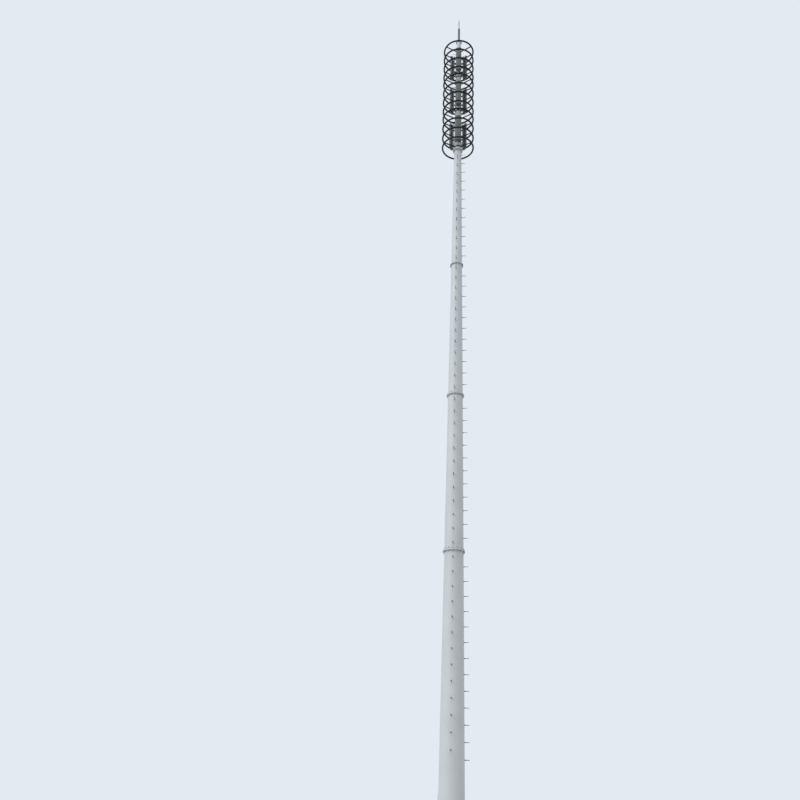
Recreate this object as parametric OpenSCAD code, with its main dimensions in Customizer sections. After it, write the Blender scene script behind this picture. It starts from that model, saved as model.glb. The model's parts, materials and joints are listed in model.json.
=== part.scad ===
// Landscape monopole with a hoop cage round its antennas, as a 1:2 scale model.
// Z is up, and the origin is the middle of the base flange's underside.
// The front faces -Y, and +X is to the right.
// Sizes are the model's own, in millimetres: the real tower's are twice as large.

/* [Shaft] */
// Outer diameter of the shaft at its foot
shaft_foot_d = 500; // [440:5:600]
// Outer diameter of the shaft at its top
shaft_top_d = 116; // [100:2:150]
// Length of the first section, which stands on the base flange
section_1_len = 5400; // [4800:50:6000]
// Length of the second section
section_2_len = 3600; // [3000:50:4200]
// Length of the third section
section_3_len = 3600; // [3000:50:4200]
// Length of the fourth section
section_4_len = 3730; // [3000:10:4200]
// Wall of the first section
wall_1 = 5; // [4:0.5:8]
// Wall of the second section
wall_2 = 5; // [3:0.5:8]
// Wall of the third section
wall_3 = 4; // [3:0.5:7]
// Wall of the fourth section
wall_4 = 4; // [3:0.5:7]
// Wall of the fifth section, inside the cage
wall_5 = 3; // [2.5:0.5:6]

/* [Base] */
// Thickness of the base flange
base_flange_t = 20; // [14:1:30]
// Distance from the shaft to the rim of the base flange
base_flange_out = 110; // [95:1:140]
// Width of the ledge that the base flange leaves inside the shaft
base_ledge = 55; // [20:1:80]
// Distance from the shaft to the middle of an anchor bolt hole
anchor_out = 68; // [55:1:75]
// Diameter of an anchor bolt hole
anchor_hole_d = 26; // [20:0.5:32]
// Number of anchor bolt holes, with one gusset between each two
anchor_count = 16; // [12:2:20]
// Height of a base gusset
gusset_h = 170; // [110:5:240]
// Thickness of a base gusset
gusset_t = 8; // [5:0.5:12]
// Height of the square lip at the outer end of a gusset or rib
rib_lip = 12; // [6:1:20]

/* [Access hatch] */
// Height of the hatch's middle above the underside of the base flange
hatch_z = 760; // [640:10:1200]
// Clear width of the hatch opening
hatch_w = 170; // [120:5:190]
// Clear height of the hatch opening, round ends included
hatch_h = 430; // [300:5:500]
// Direction that the hatch faces, turned from +X
hatch_turn = 135; // [100:5:170]
// Width of the frame's rim round the opening
hatch_rim = 14; // [8:1:20]
// Distance that the frame stands out from the shaft
hatch_out = 14; // [8:1:20]
// Thickness of the hatch cover
hatch_cover_t = 4; // [3:0.5:8]
// Distance from the cover's face to the grip of its lifting bow
hatch_bow_out = 26; // [18:1:40]
// Clear length of the lifting bow
hatch_bow_len = 76; // [50:2:110]
// Thickness of the lifting bow's round bar
hatch_bow_d = 8; // [5:0.5:12]
// Diameter of a hole for a hatch screw
hatch_screw_d = 5.5; // [4:0.5:7]
// Depth of a hatch screw's hole in the frame
hatch_screw_depth = 20; // [10:1:24]

/* [Section joints] */
// Thickness of one joint flange
joint_flange_t = 14; // [8:1:20]
// Distance that a joint flange stands out from the shaft
joint_flange_out = 32; // [28:1:60]
// Ribs on each flange of the two lower joints, with one bolt between each two
lower_rib_count = 16; // [12:1:20]
// Ribs on each flange of the two upper joints, with one bolt between each two
upper_rib_count = 12; // [8:1:14]
// Distance from the shaft to the middle of a joint bolt's hole
joint_bolt_out = 16.5; // [15:0.5:18]
// Diameter of a joint bolt's hole
joint_hole_d = 13; // [10:0.5:15]
// Height of a joint rib
joint_rib_h = 50; // [36:1:90]
// Thickness of a joint rib
joint_rib_t = 5; // [3:0.5:8]

/* [Step bolts] */
// Height of the lowest step bolt
step_first_z = 1500; // [1300:50:2500]
// Rise from one step bolt to the next, which is in the other row
step_rise = 150; // [120:5:200]
// Direction of the right row, turned from +X
step_turn = -5; // [-8:1:0]
// Diameter of a step bolt
step_d = 10; // [7:0.5:14]
// Distance from the shaft to the end of a step bolt
step_out = 90; // [70:1:96]
// Diameter of the round head that keeps a boot on the bolt
step_head_d = 20; // [15:0.5:26]
// Thickness of that head
step_head_t = 4; // [2.5:0.5:8]
// Diameter of the welded socket that holds a step bolt
socket_d = 18; // [15:0.5:24]
// Length of that socket
socket_len = 14; // [8:1:20]
// Clear height between a joint's ribs and the nearest step bolt
step_clear = 16; // [12:1:60]

/* [Hoop cage] */
// Outer diameter of a hoop
hoop_d = 860; // [760:5:960]
// Diameter of a hoop's tube
hoop_tube_d = 44; // [28:1:48]
// Rise from one hoop to the next within a tier
hoop_pitch = 342.5; // [310:2.5:380]
// Rise from the top hoop of one tier to the lowest hoop of the next
tier_gap = 285; // [265:2.5:380]
// Clear height between the highest joint's ribs and the lowest collar
cage_foot = 26; // [4:2:300]
// Rise from the top hoop to the top of the shaft
cage_head = 400; // [180:5:500]
// Diameter of a hoop arm's tube
arm_d = 30; // [18:1:34]
// Gap between a collar's ears and the tube of the arm
arm_gap = 4; // [2:0.5:8]
// Length over which an arm's tube grips its tongue plate
arm_grip = 30; // [15:1:45]

/* [Collars] */
// Thickness of a collar's band
collar_t = 5; // [3:0.5:8]
// Height of a collar's band
collar_h = 40; // [30:1:50]
// Distance that a collar's ears stand out from its band
ear_len = 28; // [20:1:34]
// Thickness of one ear
ear_t = 5; // [3:0.5:8]
// Thickness of the tongue plate held between two ears
tongue_t = 6; // [4:0.5:9]
// Height of a tongue plate
tongue_h = 34; // [26:1:40]
// Gap between a tongue plate and the shaft
tongue_gap = 3; // [1:0.5:5]

/* [Antennas] */
// Height of a panel antenna without its end caps
antenna_h = 830; // [680:10:1000]
// Width of a panel antenna
antenna_w = 150; // [110:2:180]
// Depth of a panel antenna, from its flat back to its crowned face
antenna_depth = 64; // [45:1:80]
// Rise of the crown across an antenna's face
antenna_crown = 14; // [6:1:18]
// Radius of the long edges between an antenna's face and its sides
antenna_edge_r = 16; // [10:1:20]
// Radius of the long edges at an antenna's back
antenna_heel_r = 6; // [3:0.5:9]
// Thickness of an antenna's end cap
end_cap_t = 12; // [8:1:20]
// Distance that an end cap stands out from the antenna's sides
end_cap_lip = 2; // [1:0.5:4]
// Diameter of a cable connector under an antenna
connector_d = 14; // [10:1:18]
// Length of a cable connector under an antenna
connector_len = 16; // [10:1:24]
// Diameter of the upright pipe behind an antenna
pipe_d = 30; // [22:1:40]
// Gap between the widest mounting collar and the pipe
pipe_gap = 36; // [35:1:50]
// Gap between the pipe and the antenna's back
antenna_gap = 16; // [8:1:30]
// Distance that the pipe runs past each of its tongue plates
pipe_past = 80; // [30:5:120]
// Clear height between a tongue plate and the bracket next to it
bracket_gap = 45; // [15:5:80]
// Height of a bracket
bracket_h = 34; // [24:1:46]
// Width of a bracket's plate on the antenna's back
bracket_w = 64; // [40:1:90]
// Thickness of a bracket's plates and of its clamp round the pipe
bracket_t = 6; // [4:0.5:8]

/* [Lightning rod] */
// Distance that the cap plate stands out from the shaft
cap_out = 26; // [24:1:40]
// Thickness of the cap plate
cap_t = 8; // [5:1:14]
// Depth of the ring under the cap plate, which centres it in the shaft
cap_spigot_h = 24; // [12:1:50]
// Gap between that ring and the shaft's wall
cap_clear = 1; // [0.5:0.5:2]
// Height of the lightning mast above the cap plate
mast_h = 620; // [500:10:800]
// Diameter of the lightning mast
mast_d = 60; // [44:1:70]
// Thickness of the mast's foot flange, which is as wide as the cap plate
mast_flange_t = 8; // [5:1:14]
// Number of bolts that hold the mast's foot flange on the cap plate
mast_bolt_count = 8; // [4:4:12]
// Distance from the shaft to the middle of such a bolt's hole
mast_bolt_out = 14; // [10:0.5:16]
// Diameter of such a bolt's hole
mast_hole_d = 11; // [7:0.5:12]
// Height of a rib on the mast's foot
mast_rib_h = 60; // [40:2:90]
// Thickness of a rib on the mast's foot
mast_rib_t = 5; // [3:0.5:8]
// Height of the cone that narrows the mast to the rod
mast_cone_h = 60; // [40:2:100]
// Width of the shoulder that the cone leaves round the rod
mast_shoulder = 2; // [1:0.5:5]
// Height of the rod above the mast
rod_h = 360; // [250:10:500]
// Diameter of the rod
rod_d = 20; // [14:1:26]
// Height of the rod's pointed end
rod_point_h = 90; // [50:5:140]
// Diameter of the rod's blunt tip
rod_tip_d = 3; // [2:0.5:5]

/* [Hidden] */
$fn = 96;
// Distance that a cut runs past the face it opens
over = 1;

hoops_per_tier = 4;
tiers = 3;
sectors = 3;
sector_turn = 360 / sectors;
// The arms leave the shaft at the back and at both front quarters
arm_turn = 90;
// The antennas stand midway between the arms, one of them at the front
antenna_turn = -90;
// Bays between hoops, counting the two tier gaps
bays = tiers * hoops_per_tier - 1;

// The cage's height gives the fifth section its length. A joint reaches as far on each side of its plane
// as its flange and ribs do.
tier_h = (hoops_per_tier - 1) * hoop_pitch;
cage_h = tiers * tier_h + (tiers - 1) * tier_gap;
joint_reach = joint_flange_t + joint_rib_h;
first_hoop_rise = joint_reach + cage_foot + collar_h / 2;
section_5_len = first_hoop_rise + cage_h + cage_head;
wall = [wall_1, wall_2, wall_3, wall_4, wall_5];
// Heights of the shaft's foot, its four joints and its top
joint_1_z = base_flange_t + section_1_len;
joint_2_z = joint_1_z + section_2_len;
joint_3_z = joint_2_z + section_3_len;
joint_4_z = joint_3_z + section_4_len;
shaft_top_z = joint_4_z + section_5_len;
level = [base_flange_t, joint_1_z, joint_2_z, joint_3_z, joint_4_z, shaft_top_z];
last_section = len(wall) - 1;
rib_count = [0, lower_rib_count, lower_rib_count, upper_rib_count, upper_rib_count];

// Outer radius of the shaft at a height
function shaft_r(z) =
    (shaft_foot_d + (shaft_top_d - shaft_foot_d) * (z - level[0]) / (shaft_top_z - level[0])) / 2;

base_flange_r = shaft_foot_d / 2 + base_flange_out;
base_bore_r = shaft_foot_d / 2 - base_ledge;
anchor_circle_r = shaft_foot_d / 2 + anchor_out;

// Heights of the hoops, and of the middle of each tier
hoop_r = (hoop_d - hoop_tube_d) / 2;
first_hoop_z = joint_4_z + first_hoop_rise;
function hoop_z(i) =
    first_hoop_z + floor(i / hoops_per_tier) * (tier_h + tier_gap) + (i % hoops_per_tier) * hoop_pitch;
function tier_z(t) = hoop_z(t * hoops_per_tier) + tier_h / 2;
// The mounting collars stand in the middle of a tier's first and last bays
mount_levels = [-hoop_pitch, hoop_pitch];

// Radius of a collar's band, whose lower edge touches the shaft where that is widest
function collar_r(z) = shaft_r(z - collar_h / 2) + collar_t;
pipe_axis_r = collar_r(tier_z(0) + mount_levels[0]) + pipe_gap + pipe_d / 2;
antenna_back_r = pipe_axis_r + pipe_d / 2 + antenna_gap;

step_gap = joint_reach + step_clear + socket_d / 2;
function clear_of_joints(z) =
    min([for (i = [1 : last_section]) abs(z - level[i])]) > step_gap;
last_step_z = first_hoop_z - collar_h / 2 - step_clear - socket_d / 2;
step_count = floor((last_step_z - step_first_z) / step_rise) + 1;

// Shares of a bay's height at which its right and its left step bolt stand
right_share = 0.25;
left_share = 0.75;

hatch_r = shaft_r(hatch_z);
hatch_outer_w = hatch_w + 2 * hatch_rim;
hatch_outer_h = hatch_h + 2 * hatch_rim;
// Depth from the shaft's front line to the frame's inner edge, past the curve of the wall
hatch_depth = hatch_r - sqrt(hatch_r * hatch_r - hatch_outer_w * hatch_outer_w / 4) + 2 * wall_1;
hatch_face_r = hatch_r + hatch_out;

cap_r = shaft_top_d / 2 + cap_out;
cap_z = shaft_top_z + cap_t;
mast_top_z = cap_z + mast_h;

// A length of the shaft's cone, thinner by inset
module shaft_cone(low, high, inset = 0) {
    translate([0, 0, low])
        cylinder(h = high - low, r1 = shaft_r(low) - inset, r2 = shaft_r(high) - inset);
}

// Holes on a circle of the radius r, through a plate that stands on z = 0
module bolt_holes(r, count, hole_d, plate_t, turn = 0) {
    for (k = [0 : count - 1])
        rotate([0, 0, turn + k * 360 / count])
            translate([r, 0, -over])
                cylinder(h = plate_t + 2 * over, d = hole_d, $fn = 48);
}

// Plate in the XZ plane that stands on z = 0, from the radius start to the radius foot
module rib(start, foot, top, height, thickness) {
    rotate([90, 0, 0])
        linear_extrude(thickness, center = true)
            polygon([[start, 0], [foot, 0], [foot, rib_lip], [top, height], [start, height]]);
}

// Flange and ribs at the lower end of a section, which grow upwards from z = 0
module joint_flange(r, count, r_end) {
    difference() {
        cylinder(h = joint_flange_t, r = r + joint_flange_out);
        bolt_holes(r + joint_bolt_out, count, joint_hole_d, joint_flange_t);
    }
    translate([0, 0, joint_flange_t])
        for (k = [0 : count - 1])
            rotate([0, 0, (k + 0.5) * 360 / count])
                rib(r_end - joint_rib_t, r + joint_flange_out - rib_lip / 2, r + rib_lip / 2,
                    joint_rib_h, joint_rib_t);
}

// Outline with straight sides and round ends
module oblong(w, h) {
    square([w, h - w], center = true);
    for (s = [-1, 1])
        translate([0, s * (h - w) / 2])
            circle(d = w);
}

// Places an outline on the hatch's axis, grown outwards from the radius r by depth
module on_hatch_axis(r, depth) {
    rotate([0, 0, hatch_turn])
        translate([r, 0, hatch_z])
            rotate([90, 0, 90])
                linear_extrude(depth)
                    children();
}

module base_flange() {
    color("gainsboro")
        difference() {
            cylinder(h = base_flange_t, r = base_flange_r);
            translate([0, 0, -over])
                cylinder(h = base_flange_t + 2 * over, r = base_bore_r);
            bolt_holes(anchor_circle_r, anchor_count, anchor_hole_d, base_flange_t);
        }
}

module base_gussets() {
    color("gainsboro")
        difference() {
            for (k = [0 : anchor_count - 1])
                rotate([0, 0, (k + 0.5) * 360 / anchor_count])
                    translate([0, 0, base_flange_t])
                        rib(shaft_foot_d / 2 - 4 * wall_1, base_flange_r - rib_lip / 2,
                            shaft_foot_d / 2 + rib_lip, gusset_h, gusset_t);
            shaft_cone(base_flange_t - over, base_flange_t + gusset_h + over);
        }
}

module shaft_section(i) {
    low = level[i];
    high = level[i + 1];
    color("whitesmoke")
        difference() {
            union() {
                shaft_cone(low, high);
                if (i > 0)
                    translate([0, 0, low])
                        joint_flange(shaft_r(low), rib_count[i], shaft_r(low + joint_reach));
                if (i < last_section)
                    translate([0, 0, high])
                        mirror([0, 0, 1])
                            joint_flange(shaft_r(high), rib_count[i + 1], shaft_r(high));
            }
            shaft_cone(low - over, high + over, wall[i]);
            if (i == 0)
                on_hatch_axis(hatch_r - hatch_depth, hatch_depth + hatch_out)
                    oblong(hatch_outer_w, hatch_outer_h);
        }
}

// Outlines of the hatch's screw holes in the middle of the rim: three on each side and two round each end
module hatch_screw_holes() {
    rim_r = (hatch_w + hatch_rim) / 2;
    end_y = (hatch_h - hatch_w) / 2;
    for (s = [-1, 1]) {
        for (y = [-end_y, 0, end_y])
            translate([s * rim_r, y])
                circle(d = hatch_screw_d, $fn = 32);
        for (turn = [60, 120])
            translate([0, s * end_y])
                rotate(s * turn)
                    translate([rim_r, 0])
                        circle(d = hatch_screw_d, $fn = 32);
    }
}

module hatch_frame() {
    color("gainsboro")
        difference() {
            on_hatch_axis(hatch_r - hatch_depth, hatch_depth + hatch_out)
                difference() {
                    oblong(hatch_outer_w, hatch_outer_h);
                    oblong(hatch_w, hatch_h);
                }
            on_hatch_axis(hatch_face_r - hatch_screw_depth, hatch_screw_depth + over)
                hatch_screw_holes();
        }
}

// Round bar bent to a bow with square corners, standing on the cover
module lifting_bow() {
    span = hatch_bow_len + hatch_bow_d;
    for (s = [-1, 1])
        translate([0, s * span / 2, 0])
            rotate([0, 90, 0])
                cylinder(h = hatch_bow_out, d = hatch_bow_d, $fn = 32);
    translate([hatch_bow_out, 0, 0]) {
        rotate([90, 0, 0])
            cylinder(h = span, d = hatch_bow_d, center = true, $fn = 32);
        for (s = [-1, 1])
            translate([0, s * span / 2, 0])
                sphere(d = hatch_bow_d, $fn = 32);
    }
}

module hatch_cover() {
    color("gainsboro") {
        on_hatch_axis(hatch_face_r, hatch_cover_t)
            difference() {
                oblong(hatch_outer_w, hatch_outer_h);
                hatch_screw_holes();
            }
        rotate([0, 0, hatch_turn])
            translate([hatch_face_r + hatch_cover_t / 2, 0, hatch_z])
                lifting_bow();
    }
}

// One step bolt with its welded socket, on the shaft at height z
module step_bolt(z, turn) {
    rotate([0, 0, turn])
        translate([0, 0, z])
            difference() {
                rotate([0, 90, 0]) {
                    cylinder(h = shaft_r(z) + socket_len, d = socket_d, $fn = 32);
                    cylinder(h = shaft_r(z) + step_out, d = step_d, $fn = 32);
                    translate([0, 0, shaft_r(z) + step_out - step_head_t])
                        cylinder(h = step_head_t, d = step_head_d, $fn = 32);
                }
                translate([0, 0, -z])
                    shaft_cone(z - socket_d, z + socket_d);
            }
}

// Step bolts of one row below the cage: every second rise, none at the joints
module step_row(first, turn) {
    for (k = [first : 2 : step_count - 1]) {
        z = step_first_z + k * step_rise;
        if (clear_of_joints(z))
            step_bolt(z, turn);
    }
}

// Step bolts inside the cage: one in each bay, at a share of its height
module cage_row(share, turn) {
    for (i = [0 : bays - 1])
        step_bolt(hoop_z(i) + share * (hoop_z(i + 1) - hoop_z(i)), turn);
}

module step_bolts_right() {
    color("silver") {
        step_row(0, step_turn);
        cage_row(right_share, step_turn);
    }
}

module step_bolts_front() {
    color("silver")
        step_row(1, step_turn - 90);
}

// Antennas stand in front of the front row, so in the cage this row is on the left
module step_bolts_cage_left() {
    color("silver")
        cage_row(left_share, 180 - step_turn);
}

module hoop_ring(i) {
    translate([0, 0, hoop_z(i)])
        rotate_extrude()
            translate([hoop_r, 0])
                circle(d = hoop_tube_d, $fn = 48);
}

module hoop(i) {
    color("darkslategray")
        hoop_ring(i);
}

// Tube from a collar to its hoop, with the tongue plate that the collar's ears hold
module hoop_arm(z) {
    start = collar_r(z) + ear_len + arm_gap;
    translate([shaft_r(z) + tongue_gap, -tongue_t / 2, z - tongue_h / 2])
        cube([start + arm_grip - shaft_r(z) - tongue_gap, tongue_t, tongue_h]);
    translate([start, 0, z])
        rotate([0, 90, 0])
            cylinder(h = hoop_r - start, d = arm_d, $fn = 48);
}

module hoop_arms(t) {
    color("darkslategray")
        for (i = [t * hoops_per_tier : (t + 1) * hoops_per_tier - 1])
            difference() {
                for (k = [0 : sectors - 1])
                    rotate([0, 0, arm_turn + k * sector_turn])
                        hoop_arm(hoop_z(i));
                hoop_ring(i);
            }
}

// Plan of a collar with the outer radius r: a ring in three parts, with ears where two parts meet
module collar_outline(r, turn) {
    difference() {
        union() {
            circle(r);
            for (k = [0 : sectors - 1])
                rotate(turn + k * sector_turn)
                    translate([0, -tongue_t / 2 - ear_t])
                        square([r + ear_len, tongue_t + 2 * ear_t]);
        }
        for (k = [0 : sectors - 1])
            rotate(turn + k * sector_turn)
                translate([0, -tongue_t / 2])
                    square([r + ear_len + over, tongue_t]);
    }
}

// Collar bored to the shaft's cone at the height z
module collar(z, turn) {
    difference() {
        translate([0, 0, z])
            linear_extrude(collar_h, center = true)
                collar_outline(collar_r(z), turn);
        shaft_cone(z - collar_h / 2 - over, z + collar_h / 2 + over);
    }
}

module collars(t) {
    color("darkslategray") {
        for (i = [t * hoops_per_tier : (t + 1) * hoops_per_tier - 1])
            collar(hoop_z(i), arm_turn);
        for (m = mount_levels)
            collar(tier_z(t) + m, antenna_turn);
    }
}

// Upright pipe with its tongue plates and the brackets that carry one antenna
module antenna_mount(z) {
    bracket_z = hoop_pitch - tongue_h / 2 - bracket_gap - bracket_h / 2;
    clamp_r = pipe_d / 2 + bracket_t;
    pipe_h = 2 * hoop_pitch + tongue_h + 2 * pipe_past;
    translate([pipe_axis_r, 0, z - pipe_h / 2])
        cylinder(h = pipe_h, d = pipe_d, $fn = 48);
    for (m = mount_levels)
        translate([shaft_r(z + m) + tongue_gap, -tongue_t / 2, z + m - tongue_h / 2])
            cube([pipe_axis_r - shaft_r(z + m) - tongue_gap, tongue_t, tongue_h]);
    for (s = [-1, 1])
        translate([0, 0, z + s * bracket_z - bracket_h / 2]) {
            translate([pipe_axis_r, 0, 0])
                cylinder(h = bracket_h, r = clamp_r, $fn = 48);
            for (side = [-1, 1])
                translate([pipe_axis_r, side * (pipe_d / 2 + bracket_t / 2) - bracket_t / 2, 0])
                    cube([antenna_back_r - pipe_axis_r, bracket_t, bracket_h]);
            translate([antenna_back_r - bracket_t, -bracket_w / 2, 0])
                cube([bracket_t, bracket_w, bracket_h]);
        }
}

module antenna_mounts(t) {
    color("slategray")
        for (k = [0 : sectors - 1])
            rotate([0, 0, antenna_turn + k * sector_turn])
                antenna_mount(tier_z(t));
}

// Antenna's outline from above: flat back at x = 0, crowned face and round edges, grown by lip
module antenna_outline(lip) {
    half_w = antenna_w / 2 + lip;
    face_x = antenna_depth + lip;
    crown_r = (half_w * half_w + antenna_crown * antenna_crown) / (2 * antenna_crown);
    // Middle of the circle that rounds a front edge, and where it meets the crown
    edge_y = half_w - antenna_edge_r;
    edge_x = face_x - crown_r + sqrt(pow(crown_r - antenna_edge_r, 2) - edge_y * edge_y);
    meet_y = edge_y * crown_r / (crown_r - antenna_edge_r);
    heel_y = half_w - antenna_heel_r;
    intersection() {
        translate([0, -meet_y])
            square([face_x + over, 2 * meet_y]);
        translate([face_x - crown_r, 0])
            circle(r = crown_r, $fn = 180);
    }
    translate([antenna_heel_r, -half_w])
        square([edge_x - antenna_heel_r, 2 * half_w]);
    translate([0, -heel_y])
        square([edge_x, 2 * heel_y]);
    for (s = [-1, 1]) {
        translate([edge_x, s * edge_y])
            circle(r = antenna_edge_r);
        translate([antenna_heel_r, s * heel_y])
            circle(r = antenna_heel_r, $fn = 48);
    }
}

module antenna(t, sector) {
    color("darkgray")
        rotate([0, 0, antenna_turn + sector * sector_turn])
            translate([antenna_back_r, 0, tier_z(t) - antenna_h / 2]) {
                linear_extrude(antenna_h)
                    antenna_outline(0);
                for (z = [-end_cap_t, antenna_h])
                    translate([0, 0, z])
                        linear_extrude(end_cap_t)
                            antenna_outline(end_cap_lip);
                for (s = [-1.5 : 1 : 1.5])
                    translate([antenna_depth / 2, s * antenna_w / 5, -end_cap_t - connector_len])
                        cylinder(h = connector_len, d = connector_d, $fn = 32);
            }
}

// Holes for the bolts of the mast's foot, midway between its ribs
module mast_bolt_holes(plate_t) {
    bolt_holes(shaft_top_d / 2 + mast_bolt_out, mast_bolt_count, mast_hole_d, plate_t, 180 / mast_bolt_count);
}

module pole_cap() {
    ring_r = shaft_top_d / 2 - wall_5 - cap_clear;
    color("gainsboro") {
        translate([0, 0, shaft_top_z])
            difference() {
                cylinder(h = cap_t, r = cap_r);
                mast_bolt_holes(cap_t);
            }
        translate([0, 0, shaft_top_z - cap_spigot_h])
            difference() {
                cylinder(h = cap_spigot_h, r = ring_r);
                translate([0, 0, -over])
                    cylinder(h = cap_spigot_h + over, r = ring_r - wall_5);
            }
    }
}

module lightning_mast() {
    color("silver")
        translate([0, 0, cap_z]) {
            difference() {
                cylinder(h = mast_flange_t, r = cap_r);
                mast_bolt_holes(mast_flange_t);
            }
            cylinder(h = mast_h - mast_cone_h, d = mast_d);
            translate([0, 0, mast_h - mast_cone_h])
                cylinder(h = mast_cone_h, d1 = mast_d, d2 = rod_d + 2 * mast_shoulder);
            translate([0, 0, mast_flange_t])
                for (k = [0 : 3])
                    rotate([0, 0, 90 * k])
                        rib(mast_d / 4, cap_r - rib_lip / 2, mast_d / 2 + rib_lip / 2,
                            mast_rib_h, mast_rib_t);
        }
}

module lightning_rod() {
    color("silver")
        translate([0, 0, mast_top_z]) {
            cylinder(h = rod_h - rod_point_h, d = rod_d, $fn = 48);
            translate([0, 0, rod_h - rod_point_h])
                cylinder(h = rod_point_h, d1 = rod_d, d2 = rod_tip_d, $fn = 48);
        }
}

base_flange();
base_gussets();
shaft_section(0);  // shaft_section_1
shaft_section(1);  // shaft_section_2
shaft_section(2);  // shaft_section_3
shaft_section(3);  // shaft_section_4
shaft_section(4);  // shaft_section_5
hatch_frame();
hatch_cover();
step_bolts_right();
step_bolts_front();
step_bolts_cage_left();
hoop(0);  // hoop_01
hoop(1);  // hoop_02
hoop(2);  // hoop_03
hoop(3);  // hoop_04
hoop(4);  // hoop_05
hoop(5);  // hoop_06
hoop(6);  // hoop_07
hoop(7);  // hoop_08
hoop(8);  // hoop_09
hoop(9);  // hoop_10
hoop(10);  // hoop_11
hoop(11);  // hoop_12
hoop_arms(0);  // hoop_arms_lower
hoop_arms(1);  // hoop_arms_middle
hoop_arms(2);  // hoop_arms_upper
collars(0);  // collars_lower
collars(1);  // collars_middle
collars(2);  // collars_upper
antenna_mounts(0);  // antenna_mounts_lower
antenna_mounts(1);  // antenna_mounts_middle
antenna_mounts(2);  // antenna_mounts_upper
antenna(0, 0);  // antenna_lower_front
antenna(0, 1);  // antenna_lower_right
antenna(0, 2);  // antenna_lower_left
antenna(1, 0);  // antenna_middle_front
antenna(1, 1);  // antenna_middle_right
antenna(1, 2);  // antenna_middle_left
antenna(2, 0);  // antenna_upper_front
antenna(2, 1);  // antenna_upper_right
antenna(2, 2);  // antenna_upper_left
pole_cap();
lightning_mast();
lightning_rod();
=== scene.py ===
# Dresses a packed monopole cell tower: bolts, threads, weld beads, paint and metal, and the studio
# round it. Metres, Z up and the front facing -Y. Every place is worked out from the packed nodes.
import json
import math
from itertools import product

import bpy
from bpy.props import FloatProperty, FloatVectorProperty, IntProperty, PointerProperty
from mathutils import Matrix, Vector


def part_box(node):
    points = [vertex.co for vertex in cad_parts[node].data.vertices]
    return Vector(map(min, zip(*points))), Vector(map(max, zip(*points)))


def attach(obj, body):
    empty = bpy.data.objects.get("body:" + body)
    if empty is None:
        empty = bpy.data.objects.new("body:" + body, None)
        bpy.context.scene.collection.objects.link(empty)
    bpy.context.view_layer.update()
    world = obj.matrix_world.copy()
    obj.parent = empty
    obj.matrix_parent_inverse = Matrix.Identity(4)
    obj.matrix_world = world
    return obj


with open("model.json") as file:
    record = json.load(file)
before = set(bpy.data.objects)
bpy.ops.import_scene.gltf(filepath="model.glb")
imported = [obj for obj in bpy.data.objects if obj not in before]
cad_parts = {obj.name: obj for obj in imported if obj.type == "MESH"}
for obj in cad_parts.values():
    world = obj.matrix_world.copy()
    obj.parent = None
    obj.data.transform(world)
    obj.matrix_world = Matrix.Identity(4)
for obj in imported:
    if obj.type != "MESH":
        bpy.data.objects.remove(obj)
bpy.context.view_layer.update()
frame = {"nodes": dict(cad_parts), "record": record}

bl_info = {
    "name": "Monopole Cell Tower",
    "version": (1, 0, 0),
    "blender": (4, 5, 0),
    "location": "View3D > Sidebar > Tower",
    "description": "Fasteners, weld beads and finishes for a flanged monopole with a hoop cage",
    "category": "Object",
}

NODES = frame["nodes"]
BODY = "root"
TIERS = ("lower", "middle", "upper")
HOOPS_PER_TIER = 4
ARM_TURNS = (90, 210, 330)
ANTENNA_TURNS = (-90, 30, 150)

# Sizes of the CAD source that its mesh doesn't tell by a box, in metres
RIB_T, RIB_H, RIB_LIP = 0.005, 0.050, 0.012
GUSSET_T, GUSSET_H, GUSSETS = 0.008, 0.170, 16
SOCKET_R, SOCKET_LEN = 0.009, 0.014
ARM_R, ARM_GRIP, ARM_GAP = 0.015, 0.030, 0.004
COLLAR_T, COLLAR_H = 0.005, 0.040
EAR_LEN, EAR_T, TONGUE_T, TONGUE_H = 0.028, 0.005, 0.006, 0.034
PIPE_R, ANTENNA_GAP = 0.015, 0.016
BRACKET_W, BRACKET_T, BRACKET_H, BRACKET_GAP = 0.064, 0.006, 0.034, 0.045
ANTENNA_W, ANTENNA_DEPTH, END_CAP_T, END_CAP_LIP = 0.150, 0.064, 0.012, 0.002
CONNECTOR_PITCH, CONNECTORS = 0.030, 4
HATCH_TURN, HATCH_Z, HATCH_W, HATCH_H = 135, 0.760, 0.198, 0.458
MAST_R, MAST_RIB_H, MAST_FLANGE_T, MAST_RIBS = 0.030, 0.060, 0.008, 4

# Where bolts and screws stand on what they hold, in metres
COLLAR_BOLT_OUT, COLLAR_BOLT_UP = 0.55 * EAR_LEN, 0.27 * COLLAR_H
CLAMP_BOLT_OUT, BRACKET_BOLT_UP, PLATE_SCREW_IN = 0.0205, 0.009, 0.0055
CAP_SCREWS_OUT = (0.014, 0.030)
# The rims of the hatch cover's screw holes lie between these distances from its edge
HATCH_RIM_MIN, HATCH_RIM_MAX = 0.003, 0.012

# How the corners of a mesh are sorted, in metres: two at one height or radius are closer than
# CLOSE, two step bolts are further apart than BOLT_GAP, a joint's holes are at least HOLE_MARGIN
# from its wall and rim, and no hole is wider than its size here
CLOSE, BOLT_GAP, HOLE_MARGIN = 0.0002, 0.03, 0.008
JOINT_HOLE, MAST_HOLE, HATCH_HOLE = 0.03, 0.02, 0.012
# Every joint has at least so many holes, and fewer means that they weren't found
FEWEST_HOLES = 8

# Directions in degrees of the sections' long seams, clear of ribs, hatch and step bolts, and of a
# hoop's butt weld, which has another opposite. Each hoop takes the next one in turn.
SEAM_TURNS = (45.0, 202.5, 90.0, 240.0, 60.0)
BUTT_TURNS = (57, 68, 79)
# Share of a seam's bead by which it lies in the plate, and how far it stops from a section's end
SEAM_SINK, SEAM_END = 0.6, 0.002
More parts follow.
